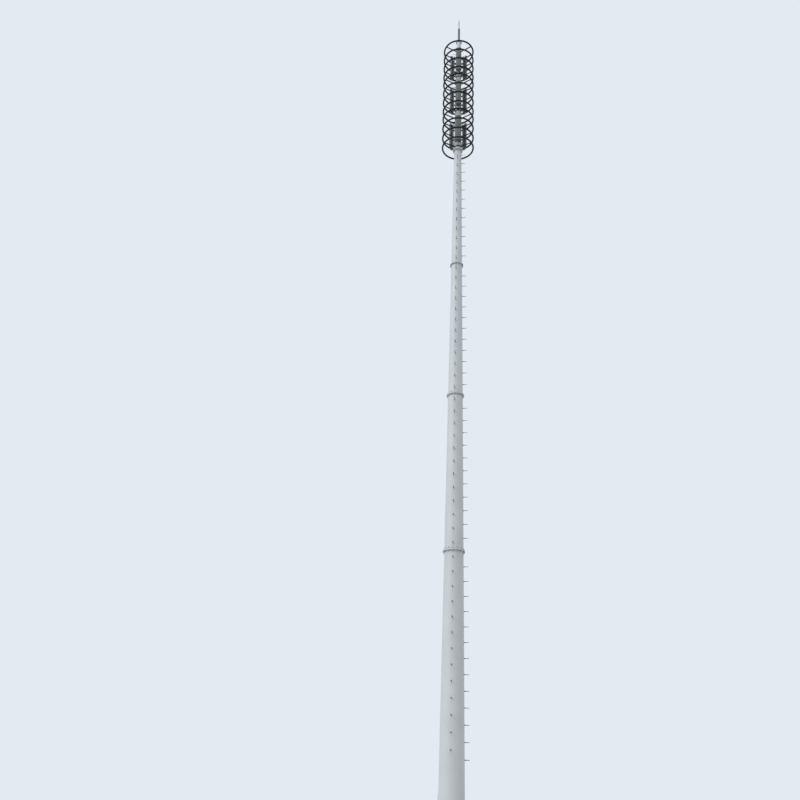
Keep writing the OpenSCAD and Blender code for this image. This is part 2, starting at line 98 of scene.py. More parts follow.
# Beads that differ from their kind's setting, as a share of it
GUSSET_BEAD, HATCH_BEAD, SLOT_BEAD = 1.3, 1.5, 0.8
# Points of a path round the shaft, the hatch, a tube and a socket, and of the floor's edge
RING_STEPS, HATCH_STEPS, TUBE_STEPS, SOCKET_STEPS, FLOOR_STEPS = 180, 72, 24, 16, 96

# Shapes of bolts and nuts as multiples of the thread's diameter
HEX_R, HEX_CHAMFER, WASHER_R, WASHER_T, WASHER_CHAMFER = 0.866, 0.09, 1.0, 0.17, 0.02
PITCH, THREAD_DEPTH = 0.14, 0.12
# A chamfer goes in by this share of its height
CHAMFER_SLOPE = 1.2
HEX_SIDES, ROUND_SIDES, BEAD_SIDES = 6, 12, 6
# A step bolt's thread stands proud of its rod by this share, so that the two don't coincide
PROUD_THREAD = 1.04

# Direction that the key light comes from, how far the floor lies under the foot, the width of the
# camera's sensor in millimetres, and how far it sees
KEY_FROM = (-0.75, -0.5, 0.62)
FLOOR_DROP = 0.001
SENSOR_W, VIEW_END = 36.0, 1000.0


# ---- sizes and colours that a user would change

def srgb(code):
    """Linear colour of an sRGB hex code"""
    parts = [int(code[i:i + 2], 16) / 255 for i in (1, 3, 5)]
    return tuple(c / 12.92 if c <= 0.04045 else ((c + 0.055) / 1.055) ** 2.4
                 for c in parts) + (1.0,)


def length(name, description, default, least=0.0005, most=0.1):
    """Length in metres, shown in the scene's own unit"""
    return FloatProperty(name=name, description=description, default=default, min=least, max=most,
                         unit="LENGTH", subtype="DISTANCE", precision=4)


def angle(name, description, degrees):
    """Angle, given in degrees"""
    return FloatProperty(name=name, description=description, default=math.radians(degrees),
                         min=-math.pi, max=math.pi, unit="ROTATION", subtype="ANGLE")


def colour(name, description, code):
    """Colour, given as sRGB hex"""
    return FloatVectorProperty(name=name, description=description, default=srgb(code), size=4,
                               min=0.0, max=1.0, subtype="COLOR")


class TowerFasteners(bpy.types.PropertyGroup):
    """Thread diameters of the tower's bolts and screws"""
    joint_thread: length("Joint bolts", "Thread of the bolts in the section joints", 0.012)
    mast_thread: length("Mast bolts", "Thread of the bolts in the lightning mast's foot", 0.010)
    step_thread: length("Step bolts", "Thread of a step bolt, behind its lock nut", 0.010)
    collar_thread: length("Collar bolts", "Thread of the bolts through a collar's ears", 0.008)
    clamp_thread: length("Clamp bolts", "Thread of the bolts that clamp a bracket", 0.008)
    plate_thread: length("Bracket screws", "Thread of the screws in an antenna's back", 0.005)
    hatch_thread: length("Hatch screws", "Thread of the screws in the hatch cover", 0.005)
    cap_thread: length("End cap screws", "Thread of the screws in an end cap", 0.0025)
    connector_thread: length("Connectors", "Thread of the connectors under an antenna", 0.0145)
    seed: IntProperty(name="Seed", description="Seed of the random turn of bolts and nuts",
                      default=7, min=0)


class TowerWelds(bpy.types.PropertyGroup):
    """Sizes of the weld beads"""
    foot_bead: length("Foot bead", "Radius of the bead round the shaft's foot", 0.005)
    flange_bead: length("Flange bead", "Radius of the bead behind a joint flange", 0.0038)
    rib_bead: length("Rib bead", "Radius of the bead round a rib or gusset", 0.0028)
    fine_bead: length("Fine bead", "Radius of the bead on tubes, sockets and hatch", 0.0019)
    seam_bead: length("Seam bead", "Radius of the bead of a section's long seam", 0.0032)
    ripple: length("Ripple", "Distance from one ripple of a hand-laid bead to the next", 0.0045)
    seed: IntProperty(name="Seed", description="Seed of the beads' uneven width", default=3, min=0)


class TowerFinishes(bpy.types.PropertyGroup):
    """Colours of the tower's paints, metals and plastics"""
    shaft: colour("Shaft paint", "Off-white gloss paint of the shaft", "#C9D0D5")
    # The grime colour also serves as painted shade on the shaft inside the cage, under the
    # antennas, arms and hoops
    grime: colour("Grime", "Dust and rain marks on the pale paint", "#7C776B")
    cage: colour("Cage paint", "Near-black satin paint of hoops, arms and collars", "#111316")
    dust: colour("Dust", "Dust that lies on the dark paint", "#5F5D58")
    primer: colour("Primer", "Zinc primer that shows in the dark paint's chips", "#6B7072")
    zinc_dark: colour("Dark zinc", "Darkest crystals of the galvanised coat", "#7A8082")
    zinc_pale: colour("Pale zinc", "Palest crystals of the galvanised coat", "#9DA3A5")
    white_rust: colour("White rust", "Pale bloom on the galvanised coat", "#B4B9B9")
    radome: colour("Radome", "Grey of the antennas' glass-fibre covers", "#6A706F")
    end_cap: colour("End caps", "Dark moulded plastic of the antennas' end caps", "#353A3B")
    nickel: colour("Connectors", "Nickel plate of the cable connectors", "#B9B3A6")


class TowerStage(bpy.types.PropertyGroup):
    """Light, floor and camera"""
    key: FloatProperty(name="Key light", description="Strength of the soft key light",
                       default=1.35, min=0.0)
    softness: angle("Softness", "Angle that the key light fills, seen from the tower", 45)
    fill: FloatProperty(name="Fill light", description="Strength of the even light from all round",
                        default=0.72, min=0.0)
    floor: colour("Floor", "Floor as the camera sees it, like the backdrop when lit", "#E7EEF6")
    bounce: colour("Floor bounce", "Floor as it lights the tower from below", "#BEBEBC")
    backdrop: colour("Backdrop", "Plain colour behind the tower", "#E3EAF2")
    floor_radius: length("Floor radius", "Distance to the floor's edge", 400.0, 30.0, 1000.0)
    lens: FloatProperty(name="Lens", description="Focal length on a sensor 36 mm wide",
                        default=36.0, min=10.0, unit="CAMERA")
    camera_away: length("Camera distance", "Distance from the shaft's axis", 16.17, 1.0, 100.0)
    camera_height: length("Camera height", "Height of the lens above the floor", 0.8, 0.1, 100.0)
    heading: angle("Heading", "Turn of the view to the left of +Y", 4.4243)
    pitch: angle("Pitch", "Rise of the view above the horizon", 26.5425)
    roll: angle("Roll", "Turn of the camera about its own view", 2.5408)


# ---- the tower's own measures, read from the packed nodes

def corners(node):
    """Corners of a node's mesh"""
    return [v.co for v in NODES[node].data.vertices]


def reach(node, z):
    """Distance from the axis to a node's outermost corner at a height"""
    return max(p.xy.length for p in corners(node) if abs(p.z - z) < CLOSE)


FOOT_Z, TOP_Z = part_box("shaft_section_1")[0].z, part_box("shaft_section_5")[1].z
FOOT_R, TOP_R = reach("shaft_section_1", FOOT_Z), reach("shaft_section_5", TOP_Z)
JOINTS = [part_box(f"shaft_section_{k}")[1].z for k in (1, 2, 3, 4)]
HOOP_BOXES = [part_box(f"hoop_{k:02d}") for k in range(1, 13)]
HOOP_Z = [(low.z + high.z) / 2 for low, high in HOOP_BOXES]
TUBE_R = (HOOP_BOXES[0][1].z - HOOP_BOXES[0][0].z) / 2
HOOP_R = HOOP_BOXES[0][1].x - TUBE_R
HOOP_PITCH = HOOP_Z[1] - HOOP_Z[0]
BRACKET_Z = HOOP_PITCH - TONGUE_H / 2 - BRACKET_GAP - BRACKET_H / 2
TIER_Z = [(HOOP_Z[i * HOOPS_PER_TIER] + HOOP_Z[(i + 1) * HOOPS_PER_TIER - 1]) / 2
          for i in range(len(TIERS))]
ANTENNA_BACK = -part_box("antenna_lower_front")[1].y
PIPE_AXIS = ANTENNA_BACK - ANTENNA_GAP - PIPE_R
ANTENNA_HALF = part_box("antenna_lower_front")[1].z - END_CAP_T - TIER_Z[0]


def shaft_r(z):
    """Outer radius of the shaft at a height"""
    return FOOT_R + (TOP_R - FOOT_R) * (z - FOOT_Z) / (TOP_Z - FOOT_Z)


def collar_r(z):
    """Outer radius of the collar band at a height"""
    return shaft_r(z - COLLAR_H / 2) + COLLAR_T


def at(turn, out, side, z):
    """Point at a distance out from the axis in the direction turn, and then to its left by side"""
    a = math.radians(turn)
    return Vector((out * math.cos(a) - side * math.sin(a),
                   out * math.sin(a) + side * math.cos(a), z))


def on_shaft(turn, side, z):
    """Point of the shaft's surface, to the side of the direction turn"""
    return at(turn, math.sqrt(shaft_r(z) ** 2 - side ** 2), side, z)


def hole_middles(points, width):
    """Middles of the holes, none wider than width, to whose rims the points belong"""
    groups = []
    for p in points:
        near = next((g for g in groups if (g[0] - p).length < width), None)
        if near is None:
            groups.append([p])
        else:
            near.append(p)
    middles = [Vector([(min(c) + max(c)) / 2 for c in zip(*g)]) for g in groups]
    return sorted(middles, key=lambda m: (round(math.atan2(m.y, m.x), 3), m.z))


def joint_flange(k):
    """Rim radius and thickness of the flange at joint k, which is the higher one of its section"""
    node, z = f"shaft_section_{k + 1}", JOINTS[k]
    rim = reach(node, z)
    edge = [p.z for p in corners(node)
            if p.xy.length > rim - CLOSE and z - 2 * RIB_H < p.z < z + CLOSE]
    return rim, z - min(edge)


def joint_holes(k):
    """Middles of the bolt holes in joint k, on the plane where the flanges meet"""
    z = JOINTS[k]
    inner, outer = shaft_r(z) + HOLE_MARGIN, joint_flange(k)[0] - HOLE_MARGIN
    rims = [p for p in corners(f"shaft_section_{k + 1}")
            if abs(p.z - z) < CLOSE and inner < p.xy.length < outer]
    return hole_middles(rims, JOINT_HOLE)


def step_bolts():
    """(direction, height) of every step bolt"""
    found = []
    for node in ("step_bolts_right", "step_bolts_front", "step_bolts_cage_left"):
        points = sorted(corners(node), key=lambda p: p.z)
        starts = [0] + [i for i in range(1, len(points))
                        if points[i].z - points[i - 1].z > BOLT_GAP]
        for start, end in zip(starts, starts[1:] + [len(points)]):
            bolt = points[start:end]
            tip = max(p.xy.length for p in bolt)
            head = [p for p in bolt if p.xy.length > tip - 10 * CLOSE]
            middle = sum(head, Vector()) / len(head)
            found.append((math.degrees(math.atan2(middle.y, middle.x)),
                          (bolt[0].z + bolt[-1].z) / 2))
    return found


# ---- paths of the weld beads, each as its points and whether it is closed

def loop(count, point):
    """Closed path through a point for each of count angles of a turn"""
    return [point(2 * math.pi * k / count) for k in range(count)], True


def ring_path(radius, z, steps=RING_STEPS):
    """Path once round the axis"""
    return loop(steps, lambda a: Vector((radius * math.cos(a), radius * math.sin(a), z)))


def rib_path(turn, base, way, height, thickness, foot, wall):
    """Path round the edges of a rib that stands on the height base, upwards or downwards by way,
    from the radius foot to a wall whose radius is a function of the height"""
    top = base + way * height
    side = [(foot, base), (wall(base), base), (wall(top), top)]
    return ([at(turn, out, thickness / 2, z) for out, z in side]
            + [at(turn, out, -thickness / 2, z) for out, z in reversed(side)], True)


def butt_path(turn, z):
    """Path round a hoop's tube, where its ends meet"""
    return loop(TUBE_STEPS, lambda a: at(turn, HOOP_R + TUBE_R * math.cos(a), 0,
                                         z + TUBE_R * math.sin(a)))


def cope_path(turn, z):
    """Path where an arm's tube meets its hoop's tube"""
    def point(a):
        side, up = ARM_R * math.cos(a), ARM_R * math.sin(a)
        inner = HOOP_R - math.sqrt(TUBE_R ** 2 - up ** 2)
        return at(turn, math.sqrt(inner ** 2 - side ** 2), side, z + up)
    return loop(TUBE_STEPS, point)


def socket_path(turn, z):
    """Path where a step bolt's socket meets the shaft"""
    return loop(SOCKET_STEPS, lambda a: on_shaft(turn, SOCKET_R * math.cos(a),
                                                 z + SOCKET_R * math.sin(a)))


def hatch_path():
    """Path where the hatch frame meets the shaft"""
    rim, straight = HATCH_W / 2, (HATCH_H - HATCH_W) / 2

    def point(a):
        side, up = rim * math.cos(a), rim * math.sin(a)
        return on_shaft(HATCH_TURN, side, HATCH_Z + up + math.copysign(straight, up))
    return loop(HATCH_STEPS, point)


# ---- node trees

def add(tree, kind, links=None, **settings):
    """Adds a node, sets its properties, and sets or links its inputs, given by name or number"""
    node = tree.nodes.new(kind)
    for key, value in settings.items():
        setattr(node, key, value)
    shown = [s for s in node.inputs if s.enabled]
    for key, value in (links or {}).items():
        socket = shown[key] if isinstance(key, int) else next(s for s in shown if s.name == key)
        for one in value if isinstance(value, list) else [value]:
            if isinstance(one, bpy.types.Node):
                one = next(s for s in one.outputs if s.enabled)
            if isinstance(one, bpy.types.NodeSocket):
                tree.links.new(one, socket)
            else:
                socket.default_value = one
    return node


def new_tree(name, inputs):
    """Geometry tree with named inputs, and the node that gives them"""
    tree = bpy.data.node_groups.new(name, "GeometryNodeTree")
    tree.interface.new_socket("Geometry", in_out="INPUT", socket_type="NodeSocketGeometry")
    for label, (kind, default) in inputs.items():
        socket = tree.interface.new_socket(label, in_out="INPUT", socket_type="NodeSocket" + kind)
        socket.default_value = default
    tree.interface.new_socket("Material", in_out="INPUT", socket_type="NodeSocketMaterial")
    tree.interface.new_socket("Geometry", in_out="OUTPUT", socket_type="NodeSocketGeometry")
    return tree, tree.nodes.new("NodeGroupInput").outputs


def end_tree(tree, given, geometry):
    """Ends a tree in plain geometry of one material"""
    plain = add(tree, "GeometryNodeRealizeInstances", {"Geometry": geometry})
    painted = add(tree, "GeometryNodeSetMaterial",
                  {"Geometry": plain, "Material": given["Material"]})
    add(tree, "NodeGroupOutput", {"Geometry": painted})
    return tree


def prism(tree, sides, radius, height, chamfer, base):
    """Closed prism that stands on the height base, with a chamfered top"""
    disc = add(tree, "GeometryNodeMeshCircle", {"Vertices": sides, "Radius": radius},
               fill_type="NGON")
    foot = add(tree, "GeometryNodeFlipFaces", {"Mesh": disc})
    wall_h = add(tree, "ShaderNodeMath", {0: height, 1: chamfer}, operation="SUBTRACT")
    wall = add(tree, "GeometryNodeExtrudeMesh",
               {"Mesh": disc, "Offset": (0, 0, 1), "Offset Scale": wall_h, "Individual": False})
    top = add(tree, "GeometryNodeExtrudeMesh",
              {"Mesh": wall.outputs["Mesh"], "Selection": wall.outputs["Top"],
               "Offset": (0, 0, 1), "Offset Scale": chamfer, "Individual": False})
    narrow = add(tree, "GeometryNodeScaleElements",
                 {"Geometry": top.outputs["Mesh"], "Selection": top.outputs["Top"],
                  "Scale": 1 - CHAMFER_SLOPE * chamfer / radius})
    whole = add(tree, "GeometryNodeJoinGeometry", {"Geometry": [foot, narrow]})
    closed = add(tree, "GeometryNodeMergeByDistance", {"Geometry": whole, "Distance": 0.001})
    lift = add(tree, "ShaderNodeCombineXYZ", {"Z": base})
    return add(tree, "GeometryNodeTransform", {"Geometry": closed, "Translation": lift})


def bolts_on_points():
    """Hexagon bolts on points whose attribute axis gives the direction of the head"""
    tree, given = new_tree("bolts_on_points", {
        "Thread": ("Float", 0.01), "Grip": ("Float", 0.02), "Head height": ("Float", 0.65),
        "Nut height": ("Float", 0.8), "Thread turns": ("Int", 3), "Head": ("Bool", True),
        "Nut": ("Bool", True), "Washers": ("Bool", True), "Shank": ("Bool", False),
        "Seed": ("Int", 0)})
    stand = add(tree, "GeometryNodeSwitch",
                {"Switch": given["Washers"], "False": 0.0, "True": WASHER_T}, input_type="FLOAT")
    disc = prism(tree, ROUND_SIDES, WASHER_R, WASHER_T, WASHER_CHAMFER, 0.0)
    washer = add(tree, "GeometryNodeSwitch", {"Switch": given["Washers"], "True": disc},
                 input_type="GEOMETRY")
    head = prism(tree, HEX_SIDES, HEX_R, given["Head height"], HEX_CHAMFER, stand)
    nut = prism(tree, HEX_SIDES, HEX_R, given["Nut height"], HEX_CHAMFER, stand)

    # Thread: a rod of crests and roots that starts inside the nut
    rows = add(tree, "ShaderNodeMath", {0: given["Thread turns"], 1: 2.0, 2: 3.0},
               operation="MULTIPLY_ADD")
    nut_top = add(tree, "ShaderNodeMath", {0: stand, 1: given["Nut height"]}, operation="ADD")
    inside = add(tree, "ShaderNodeMath", {0: nut_top, 1: PITCH}, operation="SUBTRACT")
    spine = add(tree, "GeometryNodeMeshLine",
                {"Count": rows, "Start Location": add(tree, "ShaderNodeCombineXYZ", {"Z": inside}),
                 "Offset": (0, 0, PITCH / 2)})
    odd = add(tree, "ShaderNodeMath", {0: add(tree, "GeometryNodeInputIndex"), 1: 2.0},
              operation="MODULO")
    crest = add(tree, "ShaderNodeMath", {0: odd, 1: -THREAD_DEPTH, 2: 1.0},
                operation="MULTIPLY_ADD")
    thread = add(tree, "GeometryNodeCurveToMesh",
                 {"Curve": add(tree, "GeometryNodeMeshToCurve", {"Mesh": spine}),
                  "Profile Curve": add(tree, "GeometryNodeCurvePrimitiveCircle",
                                       {"Resolution": ROUND_SIDES, "Radius": 0.5}),
                  "Scale": crest, "Fill Caps": True})
    rod = add(tree, "GeometryNodeMeshCylinder",
              {"Vertices": ROUND_SIDES, "Radius": 0.5, "Depth": 1.0})
    shank = add(tree, "GeometryNodeTransform",
                {"Geometry": rod.outputs["Mesh"], "Translation": (0, 0, -0.5)})

    # Each head stands on its point and each nut at the far end of the grip, turned at random
    axis = add(tree, "GeometryNodeInputNamedAttribute", {"Name": "axis"}, data_type="FLOAT_VECTOR")
    chance = add(tree, "FunctionNodeRandomValue",
                 {"Min": 0.0, "Max": 2 * math.pi / HEX_SIDES, "Seed": given["Seed"]},
                 data_type="FLOAT")
    spin = add(tree, "FunctionNodeAxisAngleToRotation", {"Axis": (0, 0, 1), "Angle": chance})
    turned = []
    for sign in (1.0, -1.0):
        aim = add(tree, "ShaderNodeVectorMath", {0: axis, "Scale": sign}, operation="SCALE")
        upright = add(tree, "FunctionNodeAlignRotationToVector", {"Vector": aim}, axis="Z")
        turned.append(add(tree, "FunctionNodeRotateRotation",
                          {"Rotation": upright, "Rotate By": spin}, rotation_space="LOCAL"))
    back = add(tree, "ShaderNodeMath", {0: given["Grip"], 1: -1.0}, operation="MULTIPLY")
    shift = add(tree, "ShaderNodeVectorMath", {0: axis, "Scale": back}, operation="SCALE")
    far = add(tree, "GeometryNodeSetPosition", {"Geometry": given["Geometry"], "Offset": shift})
    slim = add(tree, "ShaderNodeCombineXYZ",
               {"X": given["Thread"], "Y": given["Thread"], "Z": given["Grip"]})
    parts = []
    for wanted, points, shape, turn, scale in (
            ("Head", given["Geometry"], [washer, head], turned[0], given["Thread"]),
            ("Nut", far, [washer, nut, thread], turned[1], given["Thread"]),
            ("Shank", given["Geometry"], [shank], turned[0], slim)):
        shape = add(tree, "GeometryNodeJoinGeometry", {"Geometry": shape})
        copies = add(tree, "GeometryNodeInstanceOnPoints",
                     {"Points": points, "Instance": shape, "Rotation": turn, "Scale": scale})
        parts.append(add(tree, "GeometryNodeSwitch", {"Switch": given[wanted], "True": copies},
                         input_type="GEOMETRY"))
    return end_tree(tree, given, add(tree, "GeometryNodeJoinGeometry", {"Geometry": parts}))


def weld_beads_on_paths():
    """Rippled weld bead along every path of edges"""
    tree, given = new_tree("weld_beads_on_paths", {
        "Bead radius": ("Float", 0.003), "Ripple": ("Float", 0.0045),
        "Ripple depth": ("Float", 0.12), "Unevenness": ("Float", 0.06), "Seed": ("Int", 0)})
    step = add(tree, "ShaderNodeMath", {0: given["Ripple"], 1: 0.5}, operation="MULTIPLY")
    path = add(tree, "GeometryNodeMeshToCurve", {"Mesh": given["Geometry"]})
    line = add(tree, "GeometryNodeResampleCurve", {"Curve": path, "Length": step}, mode="LENGTH")
    odd = add(tree, "ShaderNodeMath", {0: add(tree, "GeometryNodeInputIndex"), 1: 2.0},
              operation="MODULO")
    dip = add(tree, "ShaderNodeMath", {0: odd, 1: given["Ripple depth"]}, operation="MULTIPLY")
    low, high = (add(tree, "ShaderNodeMath", {0: 1.0, 1: given["Unevenness"]}, operation=change)
                 for change in ("SUBTRACT", "ADD"))
    uneven = add(tree, "FunctionNodeRandomValue",
                 {"Min": low, "Max": high, "Seed": given["Seed"]}, data_type="FLOAT")
    width = add(tree, "ShaderNodeMath", {0: uneven, 1: dip}, operation="SUBTRACT")
    section = add(tree, "GeometryNodeCurvePrimitiveCircle",
                  {"Resolution": BEAD_SIDES, "Radius": given["Bead radius"]})
    bead = add(tree, "GeometryNodeCurveToMesh",
               {"Curve": line, "Profile Curve": section, "Scale": width, "Fill Caps": True})
    return end_tree(tree, given, add(tree, "GeometryNodeSetShadeSmooth", {"Geometry": bead}))


def grow(name, tree_maker, places, coat, **sizes):
    """Runs a tree on a mesh of places and keeps what it makes as a plain mesh. Words in the
    inputs' names are joined by underscores here, and the first letter is a capital in the tree."""
    tree = bpy.data.node_groups.get(tree_maker.__name__) or tree_maker()
    piece = bpy.data.objects.new(name, places)
    bpy.context.scene.collection.objects.link(piece)
    modifier = piece.modifiers.new(tree.name, "NODES")
    modifier.node_group = tree
    wanted = {key.replace("_", " ").capitalize(): value for key, value in sizes.items()}
    wanted["Material"] = finish(coat)
    for item in tree.interface.items_tree:
        if item.in_out == "INPUT" and item.name in wanted:
            modifier[item.identifier] = wanted.pop(item.name)
    if wanted:
        raise RuntimeError(f"{tree.name} has no input named {sorted(wanted)}")
    whole = bpy.data.meshes.new_from_object(
        piece.evaluated_get(bpy.context.evaluated_depsgraph_get()))
    piece.modifiers.remove(modifier)
    piece.data = whole
    whole.name = name
    bpy.data.meshes.remove(places)
    if not whole.polygons:
        raise RuntimeError(f"{name} came out empty")
    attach(piece, BODY)


def bolts(name, spots, coat="galvanised_fasteners", **sizes):
    """Bolts on (point, axis) spots"""
    places = bpy.data.meshes.new(name + "_places")
    places.from_pydata([p for p, _ in spots], [], [])
    axis = places.attributes.new("axis", "FLOAT_VECTOR", "POINT")
    axis.data.foreach_set("vector", [c for _, a in spots for c in Vector(a).normalized()])
    grow(name, bolts_on_points, places, coat, seed=bpy.context.scene.tower_fasteners.seed, **sizes)


def welds(name, paths, coat, bead, **sizes):
    """Weld beads along (points, closed) paths"""
    points, edges = [], []
    for path, closed in paths:
        first = len(points)
        points += path
        edges += [(i, i + 1) for i in range(first, len(points) - 1)]
        if closed:
            edges.append((len(points) - 1, first))
    places = bpy.data.meshes.new(name + "_places")
    places.from_pydata(points, edges, [])
    settings = bpy.context.scene.tower_welds
    sizes.setdefault("ripple", settings.ripple)
    grow(name, weld_beads_on_paths, places, coat, bead_radius=bead, seed=settings.seed, **sizes)


# ---- finishes

def per_metre(size_mm):
    """Texture scale at which a pattern has features of a size in millimetres"""
    return 1000 / size_mm


def new_finish(name):
    """Empty material, its tree, and the place on the object"""
    material = bpy.data.materials.new(name)
    material.use_nodes = True
    tree = material.node_tree
    tree.nodes.clear()
    return material, tree, add(tree, "ShaderNodeTexCoord").outputs["Object"]


def end_finish(material, looks):
    """Ends a material in a Principled shader, whose inputs are given by name"""
    shader = add(material.node_tree, "ShaderNodeBsdfPrincipled", looks)
    add(material.node_tree, "ShaderNodeOutputMaterial", {"Surface": shader})
    return material


def blotches(tree, place, size_mm, spread, values=(0.0, 1.0), detail=2.0, roughness=0.5,
             squash=1.0):
    """Values that vary over the surface: noise with features of size_mm, drawn out along Z by
    1/squash, of which the range spread becomes the range values"""
    drawn = add(tree, "ShaderNodeMapping", {"Vector": place, "Scale": (1, 1, squash)})
    noise = add(tree, "ShaderNodeTexNoise", {"Vector": drawn, "Scale": per_metre(size_mm),
                                             "Detail": detail, "Roughness": roughness})
    return add(tree, "ShaderNodeMapRange",
               {"Value": noise, "From Min": spread[0], "From Max": spread[1],
                "To Min": values[0], "To Max": values[1]})


def skin(tree, place, size_mm, strength, depth, detail=2.0):
    """Normal of a surface that is uneven by depth in spots of size_mm"""
    noise = add(tree, "ShaderNodeTexNoise",
                {"Vector": place, "Scale": per_metre(size_mm), "Detail": detail})
    return add(tree, "ShaderNodeBump", {"Height": noise, "Strength": strength, "Distance": depth})


def layers(tree, tint, tone, coats):
    """Colour of uneven tone under coats of other colours, given as (share, colour)"""
    base = add(tree, "ShaderNodeVectorMath", {0: tuple(tint)[:3], "Scale": tone},
               operation="SCALE")
    for share, coat in coats:
        base = add(tree, "ShaderNodeMix", {"Factor": share, "A": base, "B": tuple(coat)},
                   data_type="RGBA")
    return base


def off_white_gloss_paint():
    """Two-pack gloss sprayed over galvanised steel. It gives a cool off-white with fine orange
    peel, faint upright rain marks that gather under each flange, runs under the step bolts, a
    darker film in the cage that is part dirt and part painted shade of the antennas, arms and
    hoops, and dust near the foot."""
    colours = bpy.context.scene.tower_finishes
    material, tree, place = new_finish("off_white_gloss_paint")
    height = add(tree, "ShaderNodeSeparateXYZ", {"Vector": place}).outputs["Z"]
    share = add(tree, "ShaderNodeMath", {0: height, 1: TOP_Z}, operation="DIVIDE")
    # Where marks gather, as (height, share): near the foot, in the first half metre under each
    # flange, and in the cage
    stops = [(0.9, 0.15)]
    for z in JOINTS:
        stops += [(z - 0.6, 0.12), (z - 0.02, 0.75), (z + 0.02, 0.15)]
    marks = add(tree, "ShaderNodeValToRGB", {"Fac": share})
    ramp = marks.color_ramp.elements
    ramp[0].color, ramp[1].color = (0.8, 0.8, 0.8, 1), (0.6, 0.6, 0.6, 1)
    for z, grey in stops:
        ramp.new(z / TOP_Z).color = (grey, grey, grey, 1)
    # Rain marks 8 mm wide and half a metre long, in patches 150 mm wide and a metre tall
    dirt_and_shade = blotches(tree, place, 8, (0.45, 0.75), detail=3.0, squash=0.016)
    patches = blotches(tree, place, 150, (0.42, 0.62), (0.15, 1.0), squash=0.15)
    for share in (patches, marks):
        dirt_and_shade = add(tree, "ShaderNodeMath", {0: dirt_and_shade, 1: share}, operation="MULTIPLY")
    # An uneven darker film inside the cage, part dirt and part painted shade of the antennas, arms
    # and hoops
    cage_dirt_and_shade = blotches(tree, place, 150, (0.0, 1.0), squash=0.15)
    for clean, dirty in ((JOINTS[-1], HOOP_Z[0]), (TOP_Z, HOOP_Z[-2])):
        share = add(tree, "ShaderNodeMapRange", {"Value": height, "From Min": clean,
                                                 "From Max": dirty})
        cage_dirt_and_shade = add(tree, "ShaderNodeMath", {0: cage_dirt_and_shade, 1: share}, operation="MULTIPLY")
    dirt_and_shade = add(tree, "ShaderNodeMath", {0: dirt_and_shade, 1: cage_dirt_and_shade}, operation="ADD")
    # Dirt 12 mm wide that runs 140 mm down from each step bolt below the cage and strays 6 mm to
    # either side. Each of the two rows stands half a pitch above the other.
    core, edge, full, fall, stray = 0.002, 0.008, 0.6, 0.14, 0.006
    lowest, second = sorted(step_bolts(), key=lambda spot: spot[1])[:2]
    pitch = 2 * (second[1] - lowest[1])
    bend = blotches(tree, place, 60, (0.0, 1.0), (-stray, stray))
    for turn, first in (lowest, second):
        turned = add(tree, "ShaderNodeMapping", {"Vector": place,
                                                 "Rotation": (0, 0, -math.radians(turn))})
        part = add(tree, "ShaderNodeSeparateXYZ", {"Vector": turned}).outputs
        side = add(tree, "ShaderNodeMath", {0: part["Y"], 1: bend}, operation="ADD")
        side = add(tree, "ShaderNodeMath", {0: side}, operation="ABSOLUTE")
        run = add(tree, "ShaderNodeMapRange", {"Value": side, "From Min": core, "From Max": edge,
                                               "To Min": full, "To Max": 0.0})
        outside = add(tree, "ShaderNodeMath", {0: part["X"], 1: 0.0}, operation="GREATER_THAN")
        below = add(tree, "ShaderNodeMath", {0: first, 1: part["Z"]}, operation="SUBTRACT")
        drop = add(tree, "ShaderNodeMath", {0: below, 1: pitch}, operation="FLOORED_MODULO")
        fade = add(tree, "ShaderNodeMapRange", {"Value": drop, "From Max": fall, "To Min": 1.0,
                                                "To Max": 0.0})
        low, high = first - pitch / 2, JOINTS[-1]
        climbed = add(tree, "ShaderNodeMath",
                      {0: part["Z"], 1: (low + high) / 2, 2: (high - low) / 2}, operation="COMPARE")
        for share in (outside, fade, climbed):
            run = add(tree, "ShaderNodeMath", {0: run, 1: share}, operation="MULTIPLY")
        dirt_and_shade = add(tree, "ShaderNodeMath", {0: dirt_and_shade, 1: run}, operation="ADD")
    # Slow change of tone, half a metre across, and orange peel 3 mm across
    tone = blotches(tree, place, 500, (0.3, 0.7), (0.94, 1.03), detail=3.0)
    amount = add(tree, "ShaderNodeMath", {0: dirt_and_shade, 1: 0.7}, operation="MULTIPLY")
    gloss = add(tree, "ShaderNodeMapRange", {"Value": dirt_and_shade, "To Min": 0.5, "To Max": 0.75})
    return end_finish(material, {
        "Base Color": layers(tree, colours.shaft, tone, [(amount, colours.grime)]),
        "Roughness": gloss, "Normal": skin(tree, place, 3, 0.25, 0.0002)})


